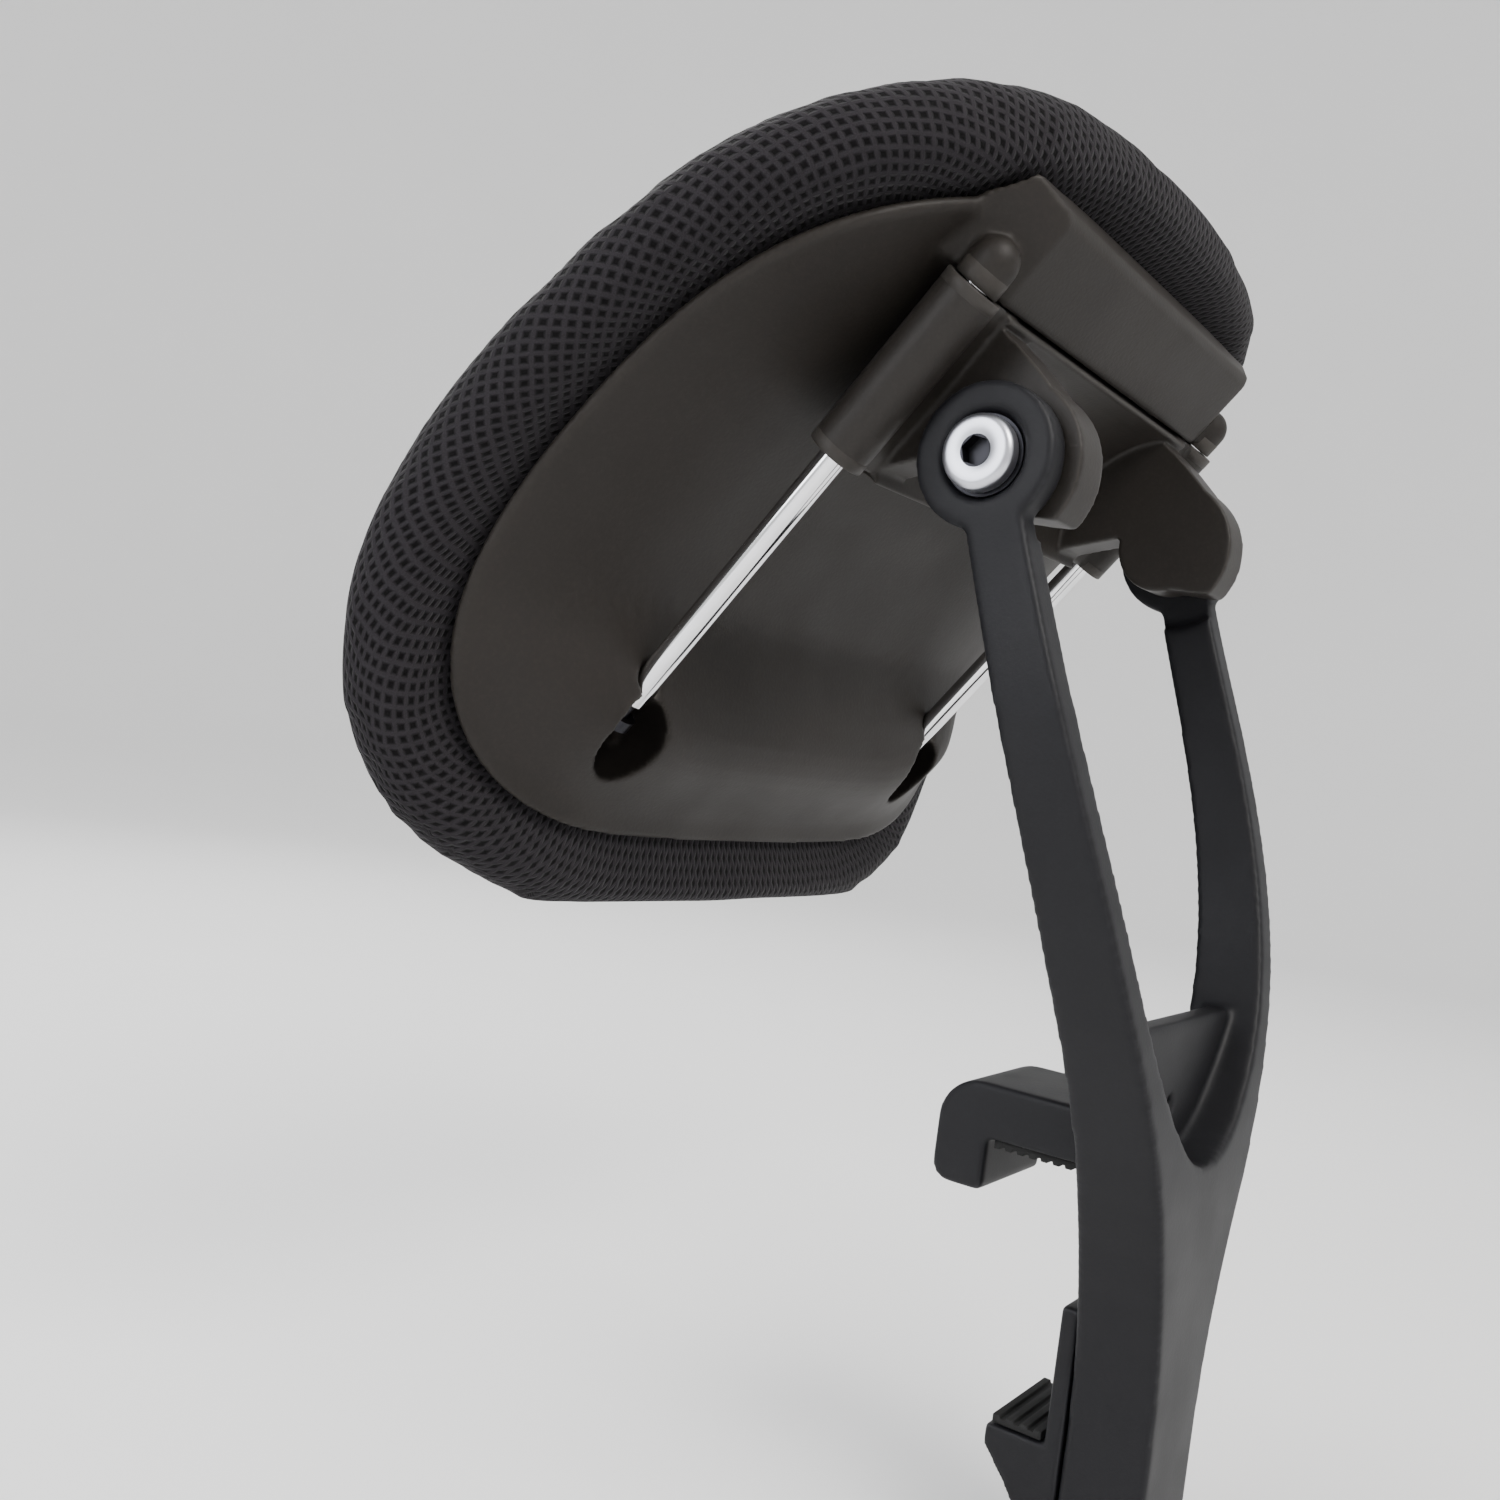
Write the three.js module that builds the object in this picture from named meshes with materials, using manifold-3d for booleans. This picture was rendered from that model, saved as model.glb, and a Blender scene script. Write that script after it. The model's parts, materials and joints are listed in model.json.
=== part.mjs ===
// Headrest attachment for an office chair: a forked arm hooks over the chair's top rail and is
// clamped from below; a carriage tilts between the arms and slides on two rods fixed in the back
// shell of a padded headrest.
//
// Millimetres. +X lateral, -Y towards the sitter, +Z up. The origin is the middle of the hook's
// seat on the rail. The head (carriage and pad) is built in its own frame: x lateral, y the pad's
// back normal, z up along the rods, with its origin on the tilt axis.
import * as THREE from 'three';
import { mergeVertices } from 'three/addons/utils/BufferGeometryUtils.js';
import Module from 'manifold-3d';

const wasm = await Module();
wasm.setup();

// ---------------------------------------------------------------- driving dimensions
const GAP = 0.3; // between pieces that touch
const LEAN = THREE.MathUtils.degToRad(39); // rods lean back from the stem at rest
const PIVOT = { y: -12.5, z: 132.5 };

const LUG = { radius: 13.7, inner: 50.3, outer: 56.45, sweep: 17.4, seat: 8.1 };
const ARM = { halfTop: 5.6, crotchZ: 5, webTopZ: 31.5, webFrontY: 14.5, webBackY: 19.5 };
const STEM = { frontY: 12, backY: 29, halfWidth: 13.8, bottomZ: -72.5 };
const HOOK = { halfWidth: 15, frontY: -23.5, lipY: -12, topZ: 13, underZ: 2, lipZ: -9 };
const CHANNEL = { halfWidth: 6.3, backY: 24, floorZ: -66, ceilingZ: -14 };

const JAW = { frontY: -4.5, plateY: 8, topZ: -26, footTopZ: -54, footZ: -62, linerTopZ: -52 };
const LINER = { halfWidth: 13, margin: 1 }; // the rubber pads on the hook and the jaw
const TONGUE = { halfWidth: 6, backY: 22.5, bottomZ: -62.5, topZ: -50.5 };
const NUT = { half: 4, frontY: 13.5, backY: 21.5, bottomZ: -60, topZ: -54 };
const SCREW = { y: 17.5, radius: 3, topZ: -16, headRadius: 5, headTopZ: -73.9, headHeight: 6 };

const BOLT = { shank: 4, headRadius: 7, headFace: 59.3, headBase: 55.7, tip: 41, hexAcross: 5 };
const EAR = { inner: 39, outer: 49.5, radius: 16.2, bossRadius: 10.2, footZ: -20, topZ: 17.8 };
const TROUGH = { radius: 25.4, underY: -27.2 };
const ROD = { x: 60.85, y: -21, radius: 2.75, bottomZ: -84, topZ: 26.5 };
const SLEEVE = { radius: 6, bore: 4.3, bottomZ: -18.7, topZ: 20.3 };

const PAD = { halfWidth: 105.8, halfHeight: 86, midZ: -36, roll: 9.9, taper: -0.08 };
const CORNER = { top: 3.1, bottom: 4.5 }; // superellipse powers of the pad's outline
const WING = { flat: 56, radius: 128 }; // the pad is flat to here, then its sides turn forwards
const SADDLE = { baseY: -44.9, square: 20.7, cube: -10.8 }; // the pad's section from top to bottom
const SHELL = { inset: 8, back: 10, front: 7 };
const SWELL = { height: 13, startZ: -65, fullZ: -86, fullInset: 34 }; // over the rods' lower ends
const BOARD = { inset: 17.5, back: 6.4, front: 4 };
const COVER = { thick: 1.5, tuck: 16, tuckBack: 5.7, crown: 17, slack: 1.2 };
const WRAP = [-90, 144]; // degrees round the roll that the cover wraps, from its front to its tuck
const BLOCK = {
  halfFace: 54,
  halfFoot: 66,
  bottomZ: 20.6,
  faceTopZ: 38.3,
  topZ: 42,
  backY: -18.4,
  footY: -29.6,
};
const HOUSING = { radius: 4.7, domeZ: 25.5, grubZ: 24 }; // round the rods' upper ends
const SEGMENTS = 40; // round the pad

// ---------------------------------------------------------------- materials
const finish = (color, roughness, metalness) => ({ color, roughness, metalness });
const FINISH = {
  moulding: finish(0x3b3938, 0.55, 0.05),
  arm: finish(0x2c2d31, 0.5, 0.1),
  mesh: finish(0x1d1c1e, 0.95, 0),
  foam: finish(0x8a8578, 0.95, 0),
  board: finish(0x6b5a43, 0.85, 0),
  chrome: finish(0xd8d8dc, 0.12, 1),
  silver: finish(0xb9bac2, 0.35, 0.9),
  blackSteel: finish(0x2a2a2c, 0.4, 0.8),
  brass: finish(0xb08d4a, 0.35, 0.9),
  bush: finish(0xd9d6cc, 0.6, 0),
  rubber: finish(0x161616, 0.9, 0),
};

// ---------------------------------------------------------------- solids
function toSolid(geometry) {
  const bare = geometry.clone();
  bare.deleteAttribute('normal');
  bare.deleteAttribute('uv');
  const merged = mergeVertices(bare, 1e-4);
  const index = merged.index.array;
  const kept = [];
  for (let i = 0; i < index.length; i += 3) {
    const [a, b, c] = [index[i], index[i + 1], index[i + 2]];
    if (a !== b && b !== c && c !== a) kept.push(a, b, c);
  }
  const vertProperties = Float32Array.from(merged.attributes.position.array);
  const triVerts = Uint32Array.from(kept);
  return new wasm.Manifold(new wasm.Mesh({ numProp: 3, vertProperties, triVerts }));
}

function toMesh(name, solid, { color, roughness, metalness }) {
  const { vertProperties, triVerts } = solid.getMesh();
  const geometry = new THREE.BufferGeometry();
  geometry.setAttribute('position', new THREE.BufferAttribute(vertProperties, 3));
  geometry.setIndex(new THREE.BufferAttribute(triVerts, 1));
  geometry.computeVertexNormals();
  const material = new THREE.MeshStandardMaterial({ color, roughness, metalness });
  const mesh = new THREE.Mesh(geometry, material);
  mesh.name = name;
  return mesh;
}

const join = (first, ...rest) => rest.reduce((sum, solid) => sum.add(solid), first);
const cut = (first, ...rest) => rest.reduce((sum, solid) => sum.subtract(solid), first);

function box([x0, x1], [y0, y1], [z0, z1]) {
  const geometry = new THREE.BoxGeometry(x1 - x0, y1 - y0, z1 - z0);
  geometry.translate((x0 + x1) / 2, (y0 + y1) / 2, (z0 + z1) / 2);
  return toSolid(geometry);
}

// A cylinder between two points.
function rod(radius, from, to, segments = 32) {
  const start = new THREE.Vector3(...from);
  const run = new THREE.Vector3(...to).sub(start);
  const geometry = new THREE.CylinderGeometry(radius, radius, run.length(), segments);
  geometry.translate(0, run.length() / 2, 0);
  const turn = new THREE.Quaternion();
  turn.setFromUnitVectors(new THREE.Vector3(0, 1, 0), run.clone().normalize());
  geometry.applyQuaternion(turn);
  geometry.translate(start.x, start.y, start.z);
  return toSolid(geometry);
}

const ring = (outer, inner, from, to, segments = 32) => {
  const along = new THREE.Vector3(...to).sub(new THREE.Vector3(...from)).normalize();
  const start = new THREE.Vector3(...from).sub(along).toArray();
  const end = new THREE.Vector3(...to).add(along).toArray();
  return cut(rod(outer, from, to, segments), rod(inner, start, end, segments));
};

const extruded = (shape, depth, curveSegments) => (
  new THREE.ExtrudeGeometry(shape, { depth, bevelEnabled: false, curveSegments }));

// A shape drawn in (y, z), extruded from x0 to x1.
function extrudeX(shape, x0, x1, curveSegments = 12) {
  const geometry = extruded(shape, x1 - x0, curveSegments);
  geometry.applyMatrix4(new THREE.Matrix4().makeBasis(
    new THREE.Vector3(0, 1, 0),
    new THREE.Vector3(0, 0, 1),
    new THREE.Vector3(1, 0, 0),
  ));
  geometry.translate(x0, 0, 0);
  return toSolid(geometry);
}

// A shape drawn in (x, z), extruded from y0 to y1.
function extrudeY(shape, y0, y1, curveSegments = 12) {
  const geometry = extruded(shape, y1 - y0, curveSegments);
  geometry.rotateX(Math.PI / 2);
  geometry.translate(0, y1, 0);
  return toSolid(geometry);
}

// A shape drawn in (x, y), extruded from z0 to z1.
function extrudeZ(shape, z0, z1, curveSegments = 12) {
  const geometry = extruded(shape, z1 - z0, curveSegments);
  geometry.translate(0, 0, z0);
  return toSolid(geometry);
}

const toVector = ([a, b]) => new THREE.Vector2(a, b);
const polygon = (points) => new THREE.Shape(points.map(toVector));
const bezier = (...points) => new THREE.CubicBezierCurve(...points.map(toVector));

// ---------------------------------------------------------------- fork
// Side view: the arms bow backwards from the lugs into the upright stem.
function forkSide() {
  const stemMid = (STEM.frontY + STEM.backY) / 2;
  const stemHalf = (STEM.backY - STEM.frontY) / 2;
  const line = bezier([PIVOT.y, PIVOT.z], [0.7, 87.5], [stemMid, 50], [stemMid, 0]);
  const steps = 14;
  const front = [];
  const back = [];
  for (let i = 0; i <= steps; i += 1) {
    const t = i / steps;
    const at = line.getPoint(t);
    const along = line.getTangent(t);
    const half = THREE.MathUtils.lerp(ARM.halfTop, stemHalf, Math.sqrt(t) * t);
    front.push([at.x + along.y * half, at.y - along.x * half]);
    back.push([at.x - along.y * half, at.y + along.x * half]);
  }
  const bottom = [[STEM.frontY, STEM.bottomZ], [STEM.backY, STEM.bottomZ]];
  return polygon([...front, ...bottom, ...back.reverse()]);
}

// Front view: two arms that curve together into the stem, with the window between them.
const curvePoints = (...points) => bezier(...points).getPoints(10).map((p) => [p.x, p.y]);
const mirror = (points) => points.map(([x, z]) => [-x, z]).reverse();

function forkOutline() {
  const topZ = PIVOT.z + 20;
  return [
    [LUG.outer, topZ],
    ...curvePoints([LUG.outer, 100], [LUG.outer, 78], [52, 56], [45.6, 39.5]),
    ...curvePoints([45.6, 39.5], [37, 18], [STEM.halfWidth, -15], [STEM.halfWidth, -50]).slice(1),
    [STEM.halfWidth, STEM.bottomZ],
  ];
}

function forkFront() {
  const topZ = PIVOT.z + 20;
  const outer = forkOutline();
  const inner = [
    ...curvePoints([0, ARM.crotchZ], [14, ARM.crotchZ], [30, 22], [37, 39.5]).slice(1),
    ...curvePoints([37, 39.5], [44, 56], [48.6, 78], [48.6, 100]).slice(1),
    [48.6, topZ],
  ];
  return polygon([...outer, ...mirror(outer), ...mirror(inner), [0, ARM.crotchZ], ...inner]);
}

function hookSide() {
  const shape = new THREE.Shape();
  const round = 9;
  const lipRound = 4;
  shape.moveTo(STEM.frontY + 3, HOOK.topZ);
  shape.lineTo(HOOK.frontY + round, HOOK.topZ);
  shape.absarc(HOOK.frontY + round, HOOK.topZ - round, round, Math.PI / 2, Math.PI, false);
  shape.lineTo(HOOK.frontY, HOOK.lipZ + lipRound);
  shape.absarc(HOOK.frontY + lipRound, HOOK.lipZ + lipRound, lipRound, Math.PI, 1.5 * Math.PI, false);
  shape.lineTo(HOOK.lipY, HOOK.lipZ);
  shape.lineTo(HOOK.lipY, HOOK.underZ);
  shape.lineTo(STEM.frontY + 3, HOOK.underZ);
  return shape;
}

function fork() {
  const reach = 80;
  const pivotLine = (radius, x0, x1) => rod(radius, [x0, PIVOT.y, PIVOT.z], [x1, PIVOT.y, PIVOT.z], 48);
  const side = join(extrudeX(forkSide(), -reach, reach), pivotLine(LUG.radius, -reach, reach));
  const yoke = side.intersect(extrudeY(forkFront(), -40, 60));
  const outline = extrudeY(polygon([...forkOutline(), ...mirror(forkOutline())]), -40, 60);
  const web = box([-45, 45], [ARM.webFrontY, ARM.webBackY], [-2, ARM.webTopZ]).intersect(outline);
  const hook = extrudeX(hookSide(), -HOOK.halfWidth, HOOK.halfWidth);
  const channel = box(
    [-CHANNEL.halfWidth, CHANNEL.halfWidth],
    [STEM.frontY - 1, CHANNEL.backY],
    [CHANNEL.floorZ, CHANNEL.ceilingZ],
  );
  const footBore = rod(3.4, [0, SCREW.y, STEM.bottomZ - 1], [0, SCREW.y, CHANNEL.floorZ + 1]);
  const webHole = rod(1.6, [0, 10, 15], [0, 25, 15], 16);
  const seatDepth = 2.3;
  const cuts = [pivotLine(LUG.sweep, -LUG.inner, LUG.inner), pivotLine(4.4, -reach, reach)];
  for (const s of [1, -1]) {
    const seat = [[s * (LUG.outer - seatDepth), PIVOT.y, PIVOT.z], [s * 70, PIVOT.y, PIVOT.z]];
    cuts.push(rod(LUG.seat, ...seat, 40));
  }
  return cut(join(yoke, web, hook), ...cuts, channel, footBore, webHole);
}

function hookLiner() {
  const { halfWidth, margin } = LINER;
  return box([-halfWidth, halfWidth], [HOOK.lipY + margin, STEM.frontY - margin], [0, HOOK.underZ - GAP]);
}

// ---------------------------------------------------------------- rail clamp
function clampJaw() {
  const halfWidth = 14;
  const side = polygon([
    [STEM.frontY - GAP, JAW.topZ],
    [JAW.plateY, JAW.topZ],
    [JAW.plateY, JAW.footTopZ],
    [JAW.frontY, JAW.footTopZ],
    [JAW.frontY, JAW.footZ + 4],
    [JAW.frontY + 5, JAW.footZ - 2],
    [JAW.plateY - 2, JAW.footZ - 10],
    [STEM.frontY - GAP, JAW.footZ - 10],
  ]);
  const tongue = box(
    [-TONGUE.halfWidth, TONGUE.halfWidth],
    [STEM.frontY - 1, TONGUE.backY],
    [TONGUE.bottomZ, TONGUE.topZ],
  );
  const nutPocket = box(
    [-NUT.half - GAP, NUT.half + GAP],
    [NUT.frontY - GAP, TONGUE.backY + 1],
    [NUT.bottomZ - GAP, NUT.topZ + GAP],
  );
  const bore = rod(3.5, [0, SCREW.y, -90], [0, SCREW.y, 0]);
  return cut(join(extrudeX(side, -halfWidth, halfWidth), tongue), nutPocket, bore);
}

function jawLiner() {
  const { halfWidth, margin } = LINER;
  const depth = [JAW.frontY + margin, JAW.plateY - margin];
  return box([-halfWidth, halfWidth], depth, [JAW.footTopZ + GAP, JAW.linerTopZ]);
}

function jawNut() {
  const body = box([-NUT.half, NUT.half], [NUT.frontY, NUT.backY], [NUT.bottomZ, NUT.topZ]);
  return cut(body, rod(SCREW.radius + 0.15, [0, SCREW.y, -90], [0, SCREW.y, 0]));
}

function clampScrew() {
  const { y, radius, topZ, headRadius, headTopZ, headHeight } = SCREW;
  const shank = rod(radius, [0, y, headTopZ - 1], [0, y, topZ]);
  const head = rod(headRadius, [0, y, headTopZ - headHeight], [0, y, headTopZ]);
  const hex = rod(2.9, [0, y, headTopZ - headHeight - 1], [0, y, headTopZ - 2.5], 6);
  return cut(join(shank, head), hex);
}

const screwWasher = () => ring(6.5, 3.3, [0, SCREW.y, -73.6], [0, SCREW.y, -72.8]);
const screwClip = () => ring(5, 3.15, [0, SCREW.y, -65.7], [0, SCREW.y, -64.7], 24);

// ---------------------------------------------------------------- tilt pivot (head frame)
function pivotBolt(s) {
  const profile = [
    [0, BOLT.tip],
    [BOLT.shank, BOLT.tip],
    [BOLT.shank, BOLT.headBase],
    [BOLT.headRadius, BOLT.headBase],
    [BOLT.headRadius, BOLT.headFace - 1.4],
    [BOLT.headRadius - 0.5, BOLT.headFace - 0.5],
    [BOLT.headRadius - 1.6, BOLT.headFace],
    [0, BOLT.headFace],
  ];
  const geometry = new THREE.LatheGeometry(profile.map(toVector), 36);
  geometry.rotateZ(-s * Math.PI / 2);
  const corner = BOLT.hexAcross / Math.sqrt(3);
  return cut(toSolid(geometry), rod(corner, [s * 56.6, 0, 0], [s * 62, 0, 0], 6));
}

const springWasher = (s) => ring(LUG.seat - 0.4, 4.3, [s * 54.35, 0, 0], [s * 55.45, 0, 0], 28);
const frictionWasher = (s) => ring(9.6, 4.4, [s * 49.7, 0, 0], [s * 50.1, 0, 0], 28);
const threadedInsert = (s) => ring(6, 4.2, [s * 40.5, 0, 0], [s * 48.5, 0, 0], 24);

// ---------------------------------------------------------------- carriage (head frame)
// An ear in (y, z): round over the pivot, with a foot on the trough and a straight lower edge.
function earShape() {
  const shape = new THREE.Shape();
  const backAngle = THREE.MathUtils.degToRad(10);
  shape.moveTo(TROUGH.underY, EAR.footZ);
  shape.lineTo(-21, EAR.footZ);
  shape.lineTo(-9.2, -5);
  shape.absarc(0, 0, EAR.bossRadius, THREE.MathUtils.degToRad(209), THREE.MathUtils.degToRad(330), false);
  shape.lineTo(Math.cos(backAngle) * EAR.radius, -Math.sin(backAngle) * 2);
  shape.absarc(0, 0, EAR.radius, 0, THREE.MathUtils.degToRad(96), false);
  shape.lineTo(-9, 17.2);
  shape.lineTo(-21, EAR.topZ);
  shape.lineTo(TROUGH.underY, EAR.topZ);
  return shape;
}

function carriage() {
  const { inner, outer } = EAR;
  const { bottomZ, topZ, radius, bore } = SLEEVE;
  const bed = cut(
    box([-outer, outer], [TROUGH.underY, -17], [-19.5, topZ - 0.4]),
    rod(TROUGH.radius, [-60, 0, 0], [60, 0, 0], 64),
  );
  const parts = [];
  const holes = [];
  for (const s of [1, -1]) {
    const [near, far] = s > 0 ? [inner, outer] : [-outer, -inner];
    parts.push(extrudeX(earShape(), near, far, 16));
    parts.push(box([Math.min(s * 46, s * 61), Math.max(s * 46, s * 61)], [-27, -18.6], [bottomZ, topZ]));
    parts.push(rod(radius, [s * ROD.x, ROD.y, bottomZ], [s * ROD.x, ROD.y, topZ], 40));
    holes.push(rod(bore, [s * ROD.x, ROD.y, bottomZ - 1], [s * ROD.x, ROD.y, topZ + 1], 32));
    holes.push(rod(6.3, [s * 40.2, 0, 0], [s * 52, 0, 0], 24));
  }
  const lowerTrim = box([-70, 70], [-17, 0], [-30, -20.5]);
  return cut(join(bed, ...parts), ...holes, lowerTrim);
}

function bushing(s, z0, z1) {
  const clearance = 0.25;
  return ring(4, ROD.radius + clearance, [s * ROD.x, ROD.y, z0], [s * ROD.x, ROD.y, z1], 20);
}

// ---------------------------------------------------------------- pad surface (head frame)
// From 0 at the start to 1 at the end, whichever of the two is lower.
function smooth(start, end, value) {
  const share = THREE.MathUtils.clamp((value - start) / (end - start), 0, 1);
  return share * share * (3 - 2 * share);
}

// A point on the pad: s across and z up its middle surface, h out of its back.
function padPoint(s, z, h) {
  const rise = (z - PAD.midZ) / PAD.halfHeight;
  const middle = SADDLE.baseY + SADDLE.square * rise ** 2 + SADDLE.cube * rise ** 3;
  const turn = Math.max(Math.abs(s) - WING.flat, 0) / WING.radius;
  const side = Math.sign(s);
  const x = side * (Math.min(Math.abs(s), WING.flat) + (WING.radius + h) * Math.sin(turn));
  return [x, middle - WING.radius * (1 - Math.cos(turn)) + h * Math.cos(turn), z];
}

// How far the shell swells backwards at an inset from its outline, fullest low down by the rods' ends.
function swell(inset, z) {
  const low = smooth(SWELL.startZ, SWELL.fullZ, z);
  return SWELL.height * low * smooth(SHELL.inset, SWELL.fullInset, inset);
}

// A pin square to the pad's surface, from h0 to h1 out of its back.
function throughPad(radius, [s, z], h0, h1) {
  const at = new THREE.Vector3(...padPoint(s, z, 0));
  const across = new THREE.Vector3(...padPoint(s + 1, z, 0)).sub(at);
  const up = new THREE.Vector3(...padPoint(s, z + 1, 0)).sub(at);
  const out = up.cross(across).normalize();
  const point = (h) => out.clone().multiplyScalar(h).add(at).toArray();
  return rod(radius, point(h0), point(h1), 16);
}

// A closed body round the pad: rows of [inset, h, swelled] from the middle out and back again.
function padBody(rows) {
  const aspect = PAD.halfWidth / PAD.halfHeight - 1;
  const profile = rows.map(([inset], i) => new THREE.Vector2(Math.max(PAD.halfHeight - inset, 0), i));
  const geometry = new THREE.LatheGeometry(profile, SEGMENTS);
  const position = geometry.attributes.position;
  const power = (value, exponent) => Math.sign(value) * Math.abs(value) ** exponent;
  for (let i = 0; i < position.count; i += 1) {
    const [inset, h, swelled] = rows[Math.round(position.getY(i))];
    const angle = Math.atan2(position.getZ(i), position.getX(i));
    const [cos, sin] = [Math.cos(angle), Math.sin(angle)];
    const exponent = 2 / (sin > 0 ? CORNER.top : CORNER.bottom);
    const halfS = PAD.halfWidth - inset * (1 + aspect * Math.max(inset, 0) / PAD.halfHeight);
    const rise = (PAD.halfHeight - inset) * power(sin, exponent);
    const s = halfS * power(cos, exponent) * (1 + PAD.taper * rise / PAD.halfHeight);
    const z = PAD.midZ + rise;
    const onMiddle = PAD.halfHeight - inset < 0.01;
    const out = h + (swelled ? swell(inset, z) : 0);
    const [x, y, up] = padPoint(onMiddle ? 0 : s, onMiddle ? PAD.midZ : z, out);
    position.setXYZ(i, x, y, up);
  }
  return toSolid(geometry);
}

const MIDDLE = PAD.halfHeight;
const insets = (from, to, steps) => {
  const list = [];
  for (let i = 0; i <= steps; i += 1) list.push(THREE.MathUtils.lerp(from, to, i / steps));
  return list;
};

// The roll's section between two angles, 0 out sideways and 90 straight back.
function rollRows(radius, fromDegrees, toDegrees, steps) {
  return insets(fromDegrees, toDegrees, steps).map((degrees) => {
    const angle = THREE.MathUtils.degToRad(degrees);
    return [-radius * Math.cos(angle), radius * Math.sin(angle)];
  });
}

const frontRows = (edge, middle) => [
  [MIDDLE, -middle],
  [60, -middle + 0.3],
  [36, THREE.MathUtils.lerp(-middle, -edge, 0.25)],
  [16, THREE.MathUtils.lerp(-middle, -edge, 0.7)],
];

function meshCover() {
  const { thick, tuck, tuckBack, crown } = COVER;
  const inside = PAD.roll - thick;
  const outer = [...frontRows(PAD.roll, crown), ...rollRows(PAD.roll, ...WRAP, 11), [tuck, tuckBack]];
  const inner = [
    ...frontRows(inside, crown - thick),
    ...rollRows(inside, ...WRAP, 9),
    [tuck, tuckBack - thick],
  ];
  return padBody([...outer, ...inner.reverse()]);
}

function foamPad() {
  const inside = PAD.roll - COVER.thick - COVER.slack;
  const front = frontRows(inside, COVER.crown - COVER.thick - COVER.slack);
  const back = insets(12, MIDDLE, 5).map((inset) => [inset, 3.5]);
  return padBody([...front, ...rollRows(inside, ...WRAP, 9), ...back]);
}

function plate(edge, back, front, swelled, steps) {
  const rows = insets(MIDDLE, edge, steps).map((inset) => [inset, front, swelled]);
  const returning = insets(edge, MIDDLE, steps).map((inset) => [inset, back, swelled]);
  return padBody([...rows, ...returning]);
}

// ---------------------------------------------------------------- pad pieces (head frame)
const SHELL_SCREWS = [[68, 8], [-68, 8], [82, -50], [-82, -50]];
const alongRod = (s, radius, z0, z1, segments = 24) => (
  rod(radius, [s * ROD.x, ROD.y, z0], [s * ROD.x, ROD.y, z1], segments));
const SOCKET = { bottomZ: -101, topZ: -74, radius: 10.5, shoulderZ: -87 };
const RECESS = { y: -13, z: -89, radii: [7.5, 9.5, 10.5] };
const LOCK_SCREW = { radius: 1.5, headRadius: 3.4, headHeight: 2.6, tipZ: -79.5 };

// The leaf-shaped recess below a rod's lower end, for the screw that locks it.
function recess(s) {
  const geometry = new THREE.SphereGeometry(1, 24, 16);
  geometry.scale(...RECESS.radii);
  geometry.translate(s * ROD.x, RECESS.y, RECESS.z);
  return toSolid(geometry);
}

// The block across the shell's top: a flat face, sloping ends, and a housing for each rod on them.
function rodBlock() {
  const { halfFace, halfFoot, bottomZ, faceTopZ, topZ, backY, footY } = BLOCK;
  const across = polygon([[-halfFoot, footY], [halfFoot, footY], [halfFace, backY], [-halfFace, backY]]);
  const side = polygon([
    [footY, bottomZ],
    [backY, bottomZ],
    [backY, faceTopZ],
    [backY - 1.6, faceTopZ + 1.9],
    [footY + 2.5, topZ],
    [footY, topZ],
  ]);
  const block = extrudeZ(across, bottomZ, topZ).intersect(extrudeX(side, -80, 80));
  return join(block, ...[1, -1].map(rodHousing));
}

function rodHousing(s) {
  const { radius, domeZ } = HOUSING;
  const dome = new THREE.SphereGeometry(radius, 32, 16);
  dome.translate(s * ROD.x, ROD.y, domeZ);
  return join(toSolid(dome), alongRod(s, radius, BLOCK.bottomZ, domeZ, 32));
}

function backShell() {
  const skin = plate(SHELL.inset, SHELL.back, SHELL.front, true, 8);
  const under = plate(SHELL.inset + 1, SHELL.back - 0.2, -10, true, 8);
  const parts = [rodBlock()];
  const cuts = [];
  for (const s of [1, -1]) {
    parts.push(alongRod(s, SOCKET.radius, SOCKET.bottomZ, SOCKET.topZ, 32).intersect(under));
    cuts.push(recess(s));
    cuts.push(alongRod(s, ROD.radius + 0.25, ROD.bottomZ - GAP, SOCKET.topZ + 14));
    cuts.push(alongRod(s, ROD.radius + 0.25, BLOCK.bottomZ - 1, ROD.topZ + 0.5));
    cuts.push(rod(1.8, [s * ROD.x, -40, HOUSING.grubZ], [s * ROD.x, ROD.y, HOUSING.grubZ], 16));
    cuts.push(alongRod(s, LOCK_SCREW.radius + GAP, SOCKET.shoulderZ - 1, ROD.bottomZ));
    cuts.push(alongRod(s, LOCK_SCREW.headRadius + 0.8, SOCKET.shoulderZ - 8, SOCKET.shoulderZ));
  }
  for (const at of SHELL_SCREWS) cuts.push(throughPad(1.8, at, 0, 9));
  const rollSpace = padBody(rollRows(PAD.roll + 0.5, 0, 360, 14));
  return cut(join(skin, ...parts), ...cuts, rollSpace);
}

const clearOfSockets = [1, -1].map((s) => alongRod(s, SOCKET.radius + 0.8, SOCKET.bottomZ - 1, -60, 32));

function carrierBoard() {
  const holes = SHELL_SCREWS.map((at) => throughPad(2, at, 0, 12));
  return cut(plate(BOARD.inset, BOARD.back, BOARD.front, false, 6), ...holes, ...clearOfSockets);
}

function foam() {
  const pockets = SHELL_SCREWS.map((at) => throughPad(3.6, at, 1, 12));
  return cut(foamPad(), ...pockets, ...clearOfSockets);
}

function shellScrew(at) {
  return join(throughPad(3, at, 1.7, 3.6), throughPad(1.5, at, 3, 8.6));
}

// A rod, with a blind hole in its lower end for its lock screw.
function chromeRod(s) {
  const hole = alongRod(s, LOCK_SCREW.radius + GAP, ROD.bottomZ - 1, LOCK_SCREW.tipZ + 1);
  return cut(alongRod(s, ROD.radius, ROD.bottomZ, ROD.topZ, 32), hole);
}

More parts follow.
